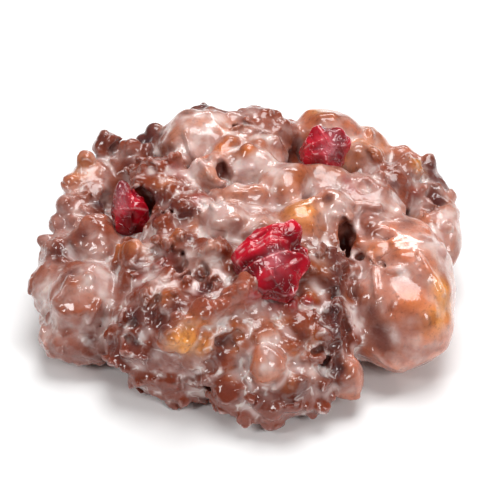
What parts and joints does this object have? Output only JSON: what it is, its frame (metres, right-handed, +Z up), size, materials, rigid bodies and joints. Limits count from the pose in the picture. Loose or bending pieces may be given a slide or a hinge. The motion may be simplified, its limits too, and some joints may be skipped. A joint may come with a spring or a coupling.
{
  "type": "cherry fritter",
  "caption": "Craggy fried-dough fritter under a thin sugar glaze, with candied cherries sunk in its knobbly top and a small flat patch underneath that it rests on.",
  "frame": {"origin": "Middle of the bounding box at its base, on the surface that the fritter rests on", "axes": "+X along the fritter's longest side towards its long smooth lobe, -Y towards the front with the egg-shaped bump, +Z up through the cherries"},
  "size_m": [0.121, 0.1068, 0.0436],
  "materials": {
    "glazed_crust": "Reddish-brown fried crust with a clear to milky sugar glaze, glossy, pale where the glaze pools",
    "candied_cherry": "Deep red, wet, wrinkled cherry skin, very glossy"
  },
  "bodies": {
    "root": {"fritter": "glazed_crust", "cherry_front": "candied_cherry", "cherry_left": "candied_cherry", "cherry_back": "candied_cherry"}
  },
  "joints": []
}
